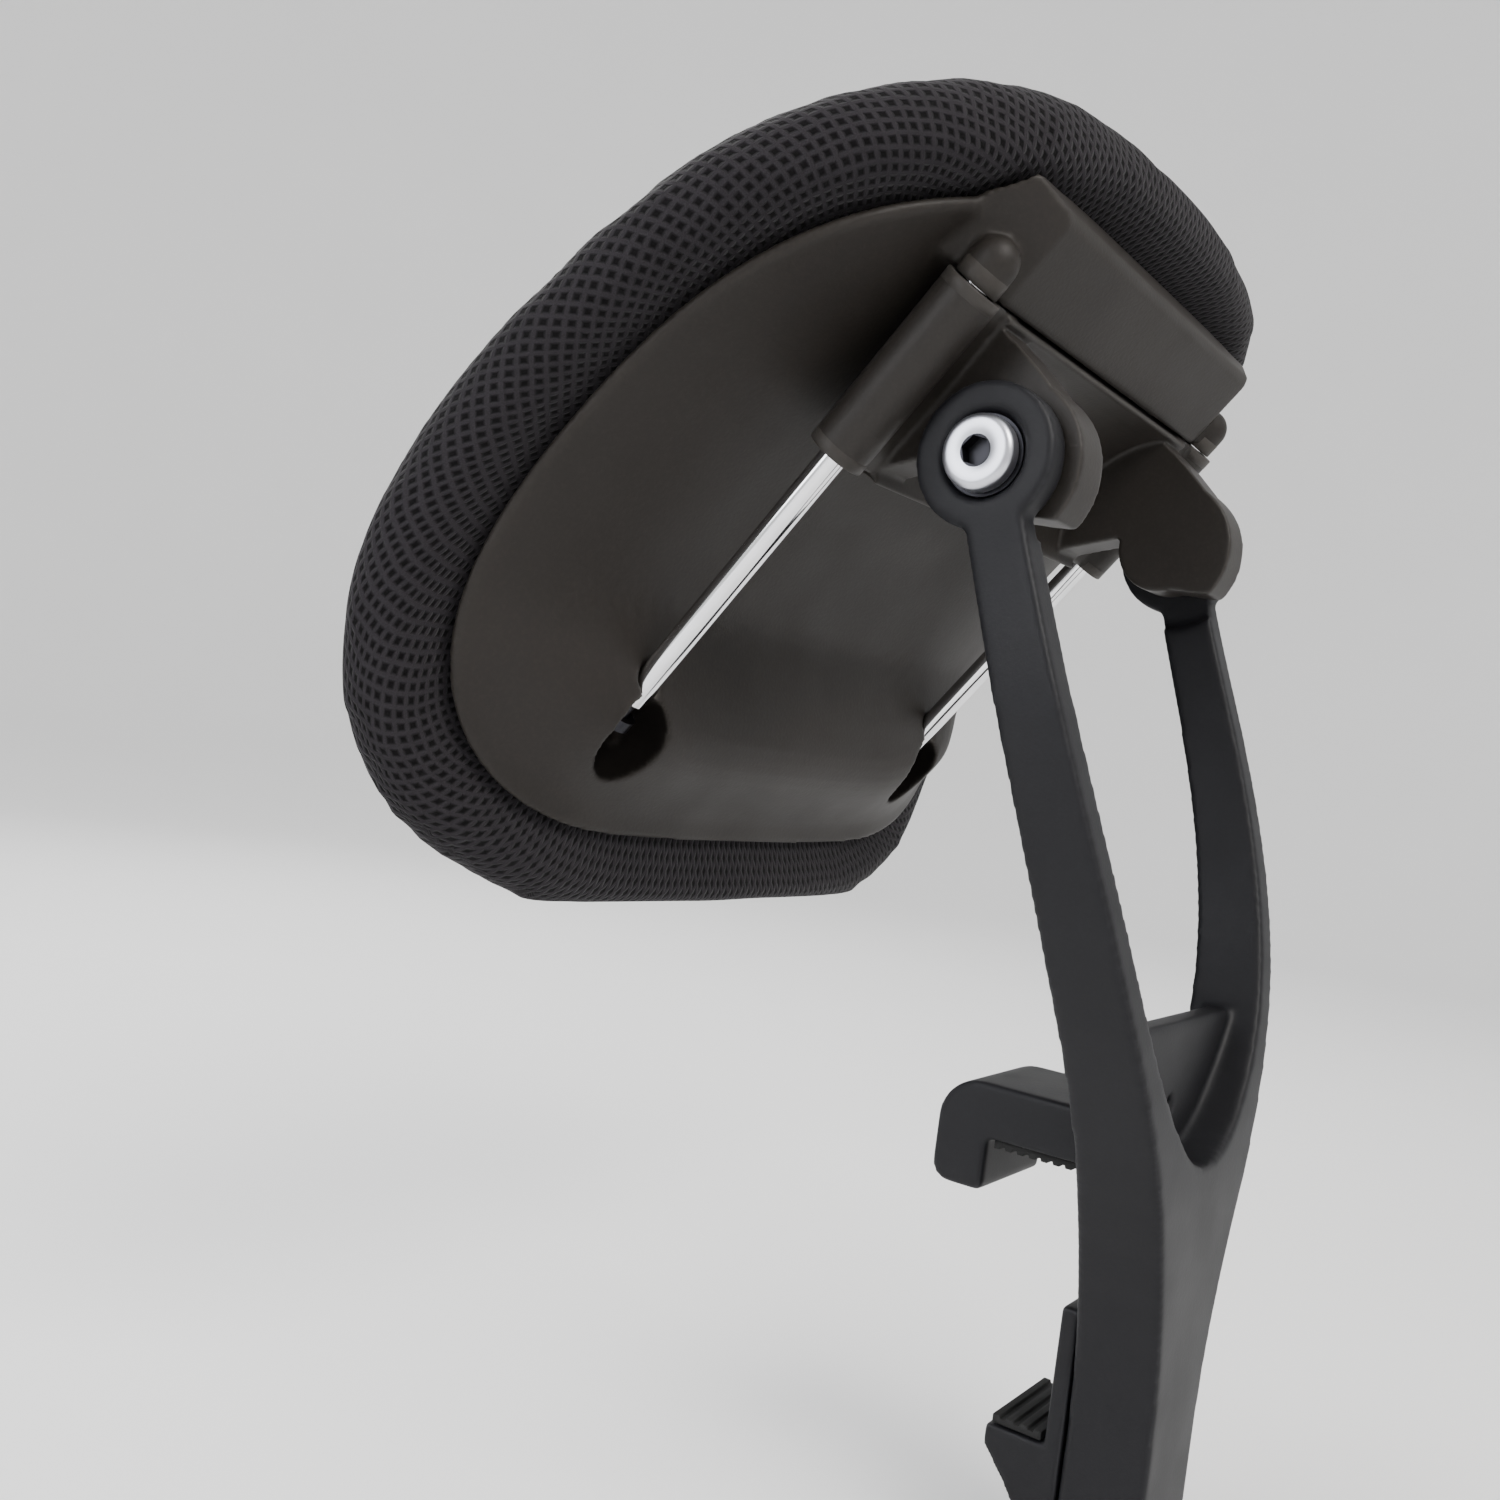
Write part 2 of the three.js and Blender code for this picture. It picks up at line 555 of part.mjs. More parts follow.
function rodGrub(s) {
  const at = (y) => [s * ROD.x, y, HOUSING.grubZ];
  return rod(1.5, at(-30.2), at(ROD.y - ROD.radius - GAP), 16);
}

function rodLockScrew(s) {
  const { radius, headRadius, headHeight, tipZ } = LOCK_SCREW;
  const headTopZ = SOCKET.shoulderZ - GAP;
  const head = alongRod(s, headRadius, headTopZ - headHeight, headTopZ);
  const hex = alongRod(s, 1.5, headTopZ - headHeight - 1, headTopZ - headHeight + 1.3, 6);
  return cut(join(head, alongRod(s, radius, headTopZ - 1, tipZ)), hex);
}

// ---------------------------------------------------------------- assembly
const sides = [['near', 1], ['far', -1]];

const base = new THREE.Group();
base.add(
  toMesh('fork', fork(), FINISH.arm),
  toMesh('hook_liner', hookLiner(), FINISH.rubber),
  toMesh('clamp_jaw', clampJaw(), FINISH.arm),
  toMesh('jaw_liner', jawLiner(), FINISH.rubber),
  toMesh('jaw_nut', jawNut(), FINISH.brass),
  toMesh('clamp_screw', clampScrew(), FINISH.silver),
  toMesh('screw_washer', screwWasher(), FINISH.silver),
  toMesh('screw_clip', screwClip(), FINISH.blackSteel),
);

const head = new THREE.Group();
head.position.set(0, PIVOT.y, PIVOT.z);
head.rotation.x = -LEAN;
head.add(toMesh('carriage', carriage(), FINISH.moulding));
for (const [side, s] of sides) {
  head.add(
    toMesh(`pivot_bolt_${side}`, pivotBolt(s), FINISH.silver),
    toMesh(`spring_washer_${side}`, springWasher(s), FINISH.blackSteel),
    toMesh(`friction_washer_${side}`, frictionWasher(s), FINISH.bush),
    toMesh(`threaded_insert_${side}`, threadedInsert(s), FINISH.brass),
    toMesh(`lower_bushing_${side}`, bushing(s, SLEEVE.bottomZ + 0.3, SLEEVE.bottomZ + 8.3), FINISH.bush),
    toMesh(`upper_bushing_${side}`, bushing(s, SLEEVE.topZ - 8.3, SLEEVE.topZ - 0.3), FINISH.bush),
    toMesh(`grip_ring_${side}`, bushing(s, -3, 3), FINISH.rubber),
  );
}
head.add(toMesh('back_shell', backShell(), FINISH.moulding));
for (const [side, s] of sides) {
  head.add(
    toMesh(`chrome_rod_${side}`, chromeRod(s), FINISH.chrome),
    toMesh(`rod_grub_${side}`, rodGrub(s), FINISH.blackSteel),
    toMesh(`rod_lock_screw_${side}`, rodLockScrew(s), FINISH.blackSteel),
  );
}
head.add(
  toMesh('carrier_board', carrierBoard(), FINISH.board),
  toMesh('foam_pad', foam(), FINISH.foam),
  toMesh('mesh_cover', meshCover(), FINISH.mesh),
);
SHELL_SCREWS.forEach((at, i) => {
  head.add(toMesh(`shell_screw_${i + 1}`, shellScrew(at), FINISH.blackSteel));
});

const attachment = new THREE.Group();
attachment.add(base, head);

export default attachment;
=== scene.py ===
import json
import math

import bmesh
import bpy
import numpy as np
from mathutils import Matrix, Vector
from mathutils.bvhtree import BVHTree
from mathutils.interpolate import poly_3d_calc


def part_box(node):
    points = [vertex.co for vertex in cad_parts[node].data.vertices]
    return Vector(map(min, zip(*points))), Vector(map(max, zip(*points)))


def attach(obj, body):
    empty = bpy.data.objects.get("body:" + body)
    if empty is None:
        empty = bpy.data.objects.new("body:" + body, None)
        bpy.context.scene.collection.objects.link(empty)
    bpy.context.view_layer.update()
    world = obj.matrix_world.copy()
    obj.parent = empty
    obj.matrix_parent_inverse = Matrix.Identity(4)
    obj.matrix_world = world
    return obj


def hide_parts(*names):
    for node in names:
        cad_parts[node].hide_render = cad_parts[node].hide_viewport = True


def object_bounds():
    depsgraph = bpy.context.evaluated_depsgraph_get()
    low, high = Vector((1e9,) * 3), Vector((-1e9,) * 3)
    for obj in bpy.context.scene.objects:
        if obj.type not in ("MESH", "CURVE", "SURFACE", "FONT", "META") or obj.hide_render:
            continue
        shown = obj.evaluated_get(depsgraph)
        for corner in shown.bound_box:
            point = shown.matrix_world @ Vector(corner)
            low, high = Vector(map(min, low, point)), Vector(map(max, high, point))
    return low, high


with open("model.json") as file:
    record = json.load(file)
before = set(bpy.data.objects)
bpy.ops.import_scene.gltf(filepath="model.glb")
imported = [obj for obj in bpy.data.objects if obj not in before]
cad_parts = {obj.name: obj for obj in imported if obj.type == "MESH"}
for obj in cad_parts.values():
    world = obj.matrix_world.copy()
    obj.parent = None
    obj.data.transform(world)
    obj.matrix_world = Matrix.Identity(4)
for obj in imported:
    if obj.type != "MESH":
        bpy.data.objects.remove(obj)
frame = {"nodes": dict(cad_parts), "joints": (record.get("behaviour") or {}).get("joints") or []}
cad_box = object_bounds()

# ---------------------------------------------------------------- the head's own frame, in millimetres
# x lateral, y the pad's back normal, z up along the rods, with its origin on the tilt axis.
MM = 0.001
JOINT = {joint["name"]: joint for joint in frame["joints"]}
ROD_UP = Vector(JOINT["height_slide"]["axis"]).normalized()
PIVOT = Vector(JOINT["head_tilt"]["pos_m"])
LATERAL = Vector((1, 0, 0))
HEAD = Matrix.Translation(PIVOT) @ Matrix((LATERAL, ROD_UP.cross(LATERAL), ROD_UP)).transposed().to_4x4()
HEAD_MM = HEAD @ Matrix.Scale(MM, 4)
ROW_MM = Matrix.Scale(MM, 4)

# ---------------------------------------------------------------- dimensions, in millimetres
HALF_WIDTH, HALF_HEIGHT, MID_Z = 105.8, 86, -36
ROLL, TAPER = 9.9, -0.08
CORNER_TOP, CORNER_BOTTOM = 3.1, 4.5
WING_FLAT, WING_RADIUS = 56, 128
SADDLE_BASE, SADDLE_SQUARE, SADDLE_CUBE = -44.9, 20.7, -10.8
SHELL_INSET, SHELL_BACK, SHELL_FRONT = 8, 10, 7
SWELL_HEIGHT, SWELL_START, SWELL_FULL, SWELL_INSET = 13, -65, -86, 34
CROWN = 17
ROD_X, ROD_Y, ROD_RADIUS, ROD_BOTTOM, ROD_TOP = 60.85, -21, 2.75, -84, 26.5
SOCKET_BOTTOM, SOCKET_TOP, SOCKET_RADIUS, SHOULDER_Z = -101, -74, 10.5, -87
RECESS_Y, RECESS_Z, RECESS_RADII = -13, -89, (7.5, 9.5, 10.5)
HALF_FACE, HALF_FOOT, BLOCK_BOTTOM, FACE_TOP = 54, 66, 20.6, 38.3
BLOCK_TOP, BLOCK_BACK, BLOCK_FOOT = 42, -18.4, -29.6
HOUSING_RADIUS, DOME_Z = 4.7, 25.5
SLEEVE_RADIUS, SLEEVE_BORE, SLEEVE_BOTTOM, SLEEVE_TOP = 6, 4.3, -18.7, 20.3
SCREW_RADIUS, SCREW_HEAD_RADIUS = 1.5, 3.4
PAD_SEGMENTS = 200
SIDES = (("near", 1), ("far", -1))


# ---------------------------------------------------------------- mesh helpers
def new_piece(name, points, faces, matrix=ROW_MM):
    """A mesh object from points in the matrix's own frame, with its faces turned outwards."""
    mesh = bpy.data.meshes.new(name)
    mesh.from_pydata([matrix @ Vector(p) for p in points], [], faces)
    made = bmesh.new()
    made.from_mesh(mesh)
    bmesh.ops.recalc_face_normals(made, faces=made.faces)
    made.to_mesh(mesh)
    made.free()
    piece = bpy.data.objects.new(name, mesh)
    bpy.context.scene.collection.objects.link(piece)
    return piece


def copy_of(node, name):
    piece = bpy.data.objects.new(name, frame["nodes"][node].data.copy())
    bpy.context.scene.collection.objects.link(piece)
    return piece


def applied(piece):
    """Bakes the piece's modifiers into its mesh."""
    graph = bpy.context.evaluated_depsgraph_get()
    made = bpy.data.meshes.new_from_object(piece.evaluated_get(graph))
    piece.modifiers.clear()
    piece.data = made
    return piece


def boolean(piece, tool, operation):
    modifier = piece.modifiers.new("cut", "BOOLEAN")
    modifier.object = tool
    modifier.operation = operation
    modifier.solver = "EXACT"
    applied(piece)
    bpy.data.objects.remove(tool)
    return piece


def merged(name, pieces):
    """One object that holds all the pieces' faces."""
    made = bmesh.new()
    for piece in pieces:
        made.from_mesh(piece.data)
        bpy.data.objects.remove(piece)
    mesh = bpy.data.meshes.new(name)
    made.to_mesh(mesh)
    made.free()
    piece = bpy.data.objects.new(name, mesh)
    bpy.context.scene.collection.objects.link(piece)
    return piece


def remeshed(piece, voxel, smoothing=0):
    """Joins what overlaps into one skin of even quads, and rounds its edges as moulding does."""
    remesh = piece.modifiers.new("remesh", "REMESH")
    remesh.mode = "VOXEL"
    remesh.voxel_size = voxel * MM
    if smoothing:
        smooth = piece.modifiers.new("smooth", "SMOOTH")
        smooth.factor = 0.5
        smooth.iterations = smoothing
    return applied(piece)


def shade(piece, sharp_degrees=180):
    piece.data.shade_smooth()
    piece.data.set_sharp_from_angle(angle=math.radians(sharp_degrees))
    return piece


def turned(name, profile, start, along, segments=64):
    """A piece turned on a lathe: (radius, height) points about the line from start along a direction."""
    axis = Vector(along).normalized()
    side = axis.orthogonal().normalized()
    other = axis.cross(side)
    points, rings = [], []
    for radius, height in profile:
        steps = 1 if radius == 0 else segments
        rings.append(range(len(points), len(points) + steps))
        for k in range(steps):
            angle = 2 * math.pi * k / segments
            spoke = side * math.cos(angle) + other * math.sin(angle)
            points.append(Vector(start) + axis * height + spoke * radius)
    closing = [] if profile[0][0] == 0 else [(rings[-1], rings[0])]
    faces = []
    for low, high in [*zip(rings, rings[1:]), *closing]:
        for k in range(segments):
            corners = [low[k % len(low)], low[(k + 1) % len(low)]]
            corners += [high[(k + 1) % len(high)], high[k % len(high)]]
            faces.append(list(dict.fromkeys(corners)))
    return new_piece(name, points, faces, Matrix.Identity(4))


def head_point(x, y, z):
    return HEAD_MM @ Vector((x, y, z))


def prism(name, outline, axis, low, high, matrix=HEAD_MM):
    """A flat outline drawn in the two directions other than axis, and carried from low to high."""
    def place(a, b, c):
        return {"x": (c, a, b), "y": (a, c, b), "z": (a, b, c)}[axis]
    count = len(outline)
    points = [place(a, b, level) for level in (low, high) for a, b in outline]
    walls = [[k, (k + 1) % count, count + (k + 1) % count, count + k] for k in range(count)]
    return new_piece(name, points, [[*range(count)], [*range(count, 2 * count)], *walls], matrix)


# ---------------------------------------------------------------- the pad's surface
def smooth_step(start, end, value):
    share = min(max((value - start) / (end - start), 0), 1)
    return share * share * (3 - 2 * share)


def outline(inset, angle):
    """A point this far in from the pad's outline, across and up its middle surface."""
    cos, sin = math.cos(angle), math.sin(angle)
    power = CORNER_TOP if sin > 0 else CORNER_BOTTOM
    reach = (abs(cos) ** power + abs(sin) ** power) ** (-1 / power)
    aspect = HALF_WIDTH / HALF_HEIGHT - 1
    half = HALF_WIDTH - inset * (1 + aspect * max(inset, 0) / HALF_HEIGHT)
    rise = (HALF_HEIGHT - inset) * reach * sin
    return half * reach * cos * (1 + TAPER * rise / HALF_HEIGHT), MID_Z + rise


def pad_point(s, z, h):
    rise = (z - MID_Z) / HALF_HEIGHT
    middle = SADDLE_BASE + SADDLE_SQUARE * rise ** 2 + SADDLE_CUBE * rise ** 3
    turn = max(abs(s) - WING_FLAT, 0) / WING_RADIUS
    x = math.copysign(min(abs(s), WING_FLAT) + (WING_RADIUS + h) * math.sin(turn), s)
    return x, middle - WING_RADIUS * (1 - math.cos(turn)) + h * math.cos(turn), z


def swell(inset, z):
    low = smooth_step(SWELL_START, SWELL_FULL, z)
    return SWELL_HEIGHT * low * smooth_step(SHELL_INSET, SWELL_INSET, inset)


def pad_body(name, rows, swelled=False):
    """A closed body round the pad, from rows of (inset, h) that run from its middle out and back."""
    points, rings = [], []
    for inset, h in rows:
        steps = 1 if inset >= HALF_HEIGHT else PAD_SEGMENTS
        rings.append(range(len(points), len(points) + steps))
        for k in range(steps):
            s, z = (0, MID_Z) if steps == 1 else outline(inset, 2 * math.pi * k / PAD_SEGMENTS)
            points.append(pad_point(s, z, h + (swell(inset, z) if swelled else 0)))
    closing = [] if rows[0][0] >= HALF_HEIGHT else [(rings[-1], rings[0])]
    faces = []
    for low, high in [*zip(rings, rings[1:]), *closing]:
        for k in range(PAD_SEGMENTS):
            corners = [low[k % len(low)], low[(k + 1) % len(low)]]
            corners += [high[(k + 1) % len(high)], high[k % len(high)]]
            faces.append(list(dict.fromkeys(corners)))
    return new_piece(name, points, faces, HEAD_MM)


def spread(start, end, steps):
    return [start + (end - start) * k / steps for k in range(steps + 1)]


def roll_rows(radius, start, end, steps):
    """The roll's section between two angles, with 0 out sideways and 90 straight back."""
    turns = [math.radians(t) for t in spread(start, end, steps)]
    return [(-radius * math.cos(t), radius * math.sin(t)) for t in turns]


def crown_rows(edge, crown, steps=18):
    """The cushion's front from its middle to the roll, domed, and steepest by the roll."""
    rows = []
    for inset in spread(HALF_HEIGHT, 0, steps)[:-1]:
        dome = 1 - (1 - min(inset / 62, 1)) ** 2.6
        rows.append((inset, -(edge + (crown - edge) * dome)))
    return rows


# ---------------------------------------------------------------- materials
def new_material(name):
    material = bpy.data.materials.new(name)
    material.use_nodes = True
    return material, material.node_tree, material.node_tree.nodes["Principled BSDF"]


def add(tree, kind, inputs=(), **settings):
    """A shader node. Its inputs go by name or number, and each is a value or another node's socket."""
    node = tree.nodes.new("ShaderNode" + kind)
    for key, value in settings.items():
        setattr(node, key, value)
    for socket, value in dict(inputs).items():
        if isinstance(value, bpy.types.NodeSocket):
            tree.links.new(value, node.inputs[socket])
        else:
            node.inputs[socket].default_value = value
    return node


def sums(tree, operation, *values):
    return add(tree, "Math", dict(enumerate(values)), operation=operation).outputs[0]


def mixed(tree, factor, first, second):
    """One colour going to another."""
    colours = {0: factor, 6: first, 7: second}
    return add(tree, "Mix", colours, data_type="RGBA").outputs[2]


def ranged(tree, value, low, high, to_low, to_high):
    inputs = {0: value, 1: low, 2: high, 3: to_low, 4: to_high}
    return add(tree, "MapRange", inputs).outputs[0]


def noise(tree, scale, detail=3.0, roughness=0.5, vector=None):
    where = vector or add(tree, "TexCoord").outputs["Object"]
    inputs = {"Vector": where, "Scale": scale, "Detail": detail, "Roughness": roughness}
    return add(tree, "TexNoise", inputs).outputs["Fac"]


def bumped(tree, shader, height, strength, distance, under=None):
    inputs = {"Height": height, "Strength": strength, "Distance": distance}
    if under is not None:
        inputs["Normal"] = under
    bump = add(tree, "Bump", inputs).outputs["Normal"]
    tree.links.new(bump, shader.inputs["Normal"])
    return bump


def rgba(colour, gain=1.0):
    return (*(channel * gain for channel in colour), 1.0)


def moulded_plastic(name, colour, rough, grain, depth, worn, specular=0.22):
    """Moulded plastic: a fine spark texture, cloudy colour and gloss, paler rubbed edges, and painted
    shade, dark and without highlights, where a point's recess-shade mark is set.
    """
    material, tree, shader = new_material(name)
    clouds = noise(tree, 24, 2)
    base = mixed(tree, ranged(tree, clouds, 0.35, 0.68, 0, 1), rgba(colour, 0.93), rgba(colour, 1.07))
    spark = noise(tree, grain, 2, 0.6)
    base = mixed(tree, ranged(tree, spark, 0.45, 0.75, 0, 0.3), base, rgba(colour, 1.7))
    edge = add(tree, "NewGeometry").outputs["Pointiness"]
    patches = ranged(tree, clouds, 0.4, 0.6, 0.35, 1)
    rubbed = sums(tree, "MULTIPLY", ranged(tree, edge, 0.53, 0.6, 0, 1), patches)
    # Painted shade: where the mark is set, the colour darkens to a fifth of the plastic's own, the
    # roughness rises and the specular falls.
    painted_recess_shade = add(tree, "Attribute", attribute_name="painted_recess_shade").outputs["Fac"]
    unshaded = mixed(tree, rubbed, base, rgba(worn))
    tree.links.new(mixed(tree, painted_recess_shade, unshaded, rgba(colour, 0.2)), shader.inputs["Base Color"])
    gloss = ranged(tree, noise(tree, 60, 2), 0.3, 0.7, rough - 0.03, rough + 0.03)
    tree.links.new(sums(tree, "MULTIPLY_ADD", painted_recess_shade, 0.4, gloss), shader.inputs["Roughness"])
    tree.links.new(ranged(tree, painted_recess_shade, 0, 1, specular, 0.03), shader.inputs["Specular IOR Level"])
    bumped(tree, shader, spark, 0.5, depth)
    return material


def metal(name, colour, rough, streak, depth=0.00001):
    """Metal with a fine streaky polish and faint smudges."""
    material, tree, shader = new_material(name)
    where = add(tree, "TexCoord").outputs["Object"]
    stretched = add(tree, "Mapping", {"Vector": where, "Scale": (3, 1, 1)})
    lines = noise(tree, streak, 3, 0.6, stretched.outputs[0])
    smudge = noise(tree, 90, 3)
    colours = mixed(tree, ranged(tree, smudge, 0.35, 0.7, 0, 1), rgba(colour, 0.9), rgba(colour, 1.05))
    tree.links.new(colours, shader.inputs["Base Color"])
    gloss = sums(tree, "MULTIPLY_ADD", smudge, rough * 0.5, rough * 0.75)
    tree.links.new(gloss, shader.inputs["Roughness"])
    shader.inputs["Metallic"].default_value = 1.0
    bumped(tree, shader, lines, 0.25, depth)
    return material


def plain_grain(name, colour, rough, scale, depth, spread_of_colour=0.25, specular=0.3):
    """Rubber, foam, acetal or board: mottled, with a grain of its own scale."""
    material, tree, shader = new_material(name)
    mottle = noise(tree, scale / 12, 4)
    low, high = rgba(colour, 1 - spread_of_colour), rgba(colour, 1 + spread_of_colour)
    mottled = mixed(tree, ranged(tree, mottle, 0.3, 0.7, 0, 1), low, high)
    tree.links.new(mottled, shader.inputs["Base Color"])
    tree.links.new(ranged(tree, mottle, 0.3, 0.7, rough - 0.06, rough + 0.06), shader.inputs["Roughness"])
    shader.inputs["Specular IOR Level"].default_value = specular
    bumped(tree, shader, noise(tree, scale, 4, 0.65), 0.5, depth)
    return material


def open_cell_foam():
    material, tree, shader = new_material("open_cell_foam")
    where = add(tree, "TexCoord").outputs["Object"]
    cells = add(tree, "TexVoronoi", {"Vector": where, "Scale": 900.0}).outputs["Distance"]
    open_cell, wall = rgba((0.2, 0.185, 0.16)), rgba((0.42, 0.4, 0.35))
    colour = mixed(tree, ranged(tree, cells, 0.1, 0.6, 0, 1), open_cell, wall)
    tree.links.new(colour, shader.inputs["Base Color"])
    shader.inputs["Roughness"].default_value = 0.95
    bumped(tree, shader, cells, 0.8, 0.0006)
    return material


MESH_PITCH = 3.1  # between the mesh's diamonds across the cloth, in millimetres


def spacer_mesh():
    """Spacer mesh: a net of knitted yarn with diamond holes, over a darker layer that shows through."""
    material, tree, shader = new_material("spacer_mesh")
    weave = add(tree, "Attribute", attribute_name="weave").outputs["Vector"]
    wander = add(tree, "TexNoise", {"Vector": weave, "Scale": 0.11, "Detail": 2.0}).outputs["Color"]
    bent = add(tree, "VectorMath", {0: weave, 1: wander}, operation="ADD").outputs[0]
    axes = add(tree, "SeparateXYZ", {0: bent})
    across = sums(tree, "DIVIDE", axes.outputs[0], MESH_PITCH)
    up = sums(tree, "DIVIDE", axes.outputs[1], MESH_PITCH * 1.35)

    def from_middle(value):
        return sums(tree, "ABSOLUTE", sums(tree, "SUBTRACT", sums(tree, "FRACT", value), 0.5))
    diamond = sums(tree, "ADD", from_middle(across), from_middle(up))
    from_yarn = sums(tree, "ABSOLUTE", sums(tree, "SUBTRACT", diamond, 0.5))
    yarn = ranged(tree, from_yarn, 0.13, 0.33, 1, 0)
    fibre = noise(tree, 3.2, 3, 0.7, bent)
    height = sums(tree, "MULTIPLY_ADD", fibre, 0.22, sums(tree, "MULTIPLY", yarn, 0.9))
    fade = noise(tree, 14, 3)
    pale = mixed(tree, fade, rgba((0.0095, 0.0085, 0.0095)), rgba((0.018, 0.016, 0.0185)))
    pale = mixed(tree, ranged(tree, fibre, 0.35, 0.75, 0, 0.6), pale, rgba((0.034, 0.031, 0.035)))
    colour = mixed(tree, yarn, rgba((0.0018, 0.0016, 0.0018)), pale)
    tree.links.new(colour, shader.inputs["Base Color"])
    tree.links.new(ranged(tree, fibre, 0.3, 0.7, 0.72, 0.9), shader.inputs["Roughness"])
    shader.inputs["Specular IOR Level"].default_value = 0.1
    shader.inputs["Sheen Weight"].default_value = 0.05
    shader.inputs["Sheen Roughness"].default_value = 0.4
    bumped(tree, shader, height, 0.7, 0.0006)
    return material


def studio_paper():
    material, tree, shader = new_material("studio_paper")
    tint = mixed(tree, noise(tree, 6, 3), rgba((0.84, 0.84, 0.84)), rgba((0.87, 0.87, 0.87)))
    tree.links.new(tint, shader.inputs["Base Color"])
    shader.inputs["Roughness"].default_value = 0.9
    shader.inputs["Specular IOR Level"].default_value = 0.1
    return material


ARM_PLASTIC = moulded_plastic(
    "arm_plastic", (0.0052, 0.0052, 0.0066), 0.52, 1500, 0.00006,
    (0.05, 0.05, 0.055),
)
SHELL_PLASTIC = moulded_plastic(
    "shell_plastic", (0.0135, 0.0112, 0.0095), 0.54, 1100, 0.0001,
    (0.06, 0.054, 0.048),
)
CARRIAGE_PLASTIC = moulded_plastic(
    "carriage_plastic", (0.0165, 0.0142, 0.0125), 0.48, 1300, 0.00007,
    (0.06, 0.055, 0.05),
)
MESH = spacer_mesh()
FOAM = open_cell_foam()
CHROME = metal("chrome", (0.86, 0.86, 0.88), 0.08, 400, 0.000004)
SILVER = metal("satin_zinc", (0.62, 0.63, 0.68), 0.34, 2600)
BLACK_STEEL = metal("black_oxide", (0.035, 0.035, 0.04), 0.42, 1800)
BRASS = metal("turned_brass", (0.62, 0.44, 0.17), 0.3, 2200)
RUBBER = plain_grain("rubber", (0.012, 0.012, 0.012), 0.85, 2400, 0.00006)
ACETAL = plain_grain("acetal", (0.56, 0.54, 0.48), 0.5, 1500, 0.00002, 0.06)
BOARD = plain_grain("pressed_board", (0.25, 0.18, 0.11), 0.82, 1400, 0.00015, 0.3)
PAPER = studio_paper()


def finished(piece, material, body, slot, *nodes):
    """Gives a piece its material and its body, and hides the CAD nodes it stands for. The slot argument is
    not used.
    """
    piece.data.materials.clear()
    piece.data.materials.append(material)
    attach(piece, body)
    if nodes:
        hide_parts(*nodes)
    return piece


# ---------------------------------------------------------------- fork and rail clamp
def make_fork():
    piece = shade(remeshed(copy_of("fork", "fork_bracket"), 0.7, 10))
    return finished(piece, ARM_PLASTIC, "fork", "arm_plastic", "fork")


def make_clamp_jaw():
    piece = shade(remeshed(copy_of("clamp_jaw", "clamp_jaw_casting"), 0.6, 8))
    return finished(piece, ARM_PLASTIC, "clamp_jaw", "arm_plastic", "clamp_jaw")


def make_liner(node, body, up):
    """A rubber pad with grooves across its working face; up is 1 where that face looks up."""
    low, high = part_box(node)
    depth, groove = 0.0006, 0.0011
    ribs = int((high.y - low.y) / (2 * groove))
    pitch = (high.y - low.y) / (ribs - 0.5)
    face, back = (high.z, low.z) if up > 0 else (low.z, high.z)
    section = [(low.y, back), (low.y, face)]
    for k in range(ribs - 1):
        y = low.y + pitch * (k + 0.5)
        section += [(y, face), (y + 0.0002, face - up * depth)]
        section += [(y + pitch / 2 - 0.0002, face - up * depth), (y + pitch / 2, face)]
    section += [(high.y, face), (high.y, back)]
    piece = prism(node + "_ribbed", section, "x", low.x, high.x, Matrix.Identity(4))
    bevel = piece.modifiers.new("bevel", "BEVEL")
    bevel.width = 0.00012
    bevel.segments = 2
    applied(piece)
    return finished(shade(piece, 40), RUBBER, body, "rubber", node)


def hex_socket(tool_name, start, along, across, depth):
    corner = across / math.sqrt(3)
    profile = [(0, -depth), (corner, -depth), (corner, 1), (0, 1)]
    return turned(tool_name, [(r * MM, h * MM) for r, h in profile], start, along, 6)


def make_clamp_screw():
    """A socket cap screw: round head below, thread rings on the shank."""
    y, head_top, head_bottom, top = 17.5, -73.9, -79.9, -16
    head, shank = 5, 3
    profile = [(0, head_bottom), (head - 0.7, head_bottom), (head - 0.2, head_bottom + 0.25)]
    profile += [(head, head_bottom + 0.7), (head, head_top - 0.3)]
    profile += [(head - 0.3, head_top), (shank, head_top)]
    turn_height = 1.0
    for k in range(int((top - head_top - 2) / turn_height)):
        z = head_top + 1 + k * turn_height
        profile += [(shank, z), (shank - 0.32, z + turn_height / 2)]
    profile += [(shank, top - 0.6), (shank - 0.6, top), (0, top)]
    centre = Vector((0, y * MM, 0))
    screw = turned("clamp_cap_screw", [(r * MM, z * MM) for r, z in profile], centre, (0, 0, 1), 96)
    mouth = centre + Vector((0, 0, head_bottom * MM))
    boolean(screw, hex_socket("hex", mouth, (0, 0, -1), 5, 3.5), "DIFFERENCE")
    finished(shade(screw, 30), SILVER, "clamp_screw", "silver_steel", "clamp_screw")
    # Painted shade inside the hex socket.
    paint_socket_shade(screw, mouth, Vector((0, 0, -1)))
    return screw


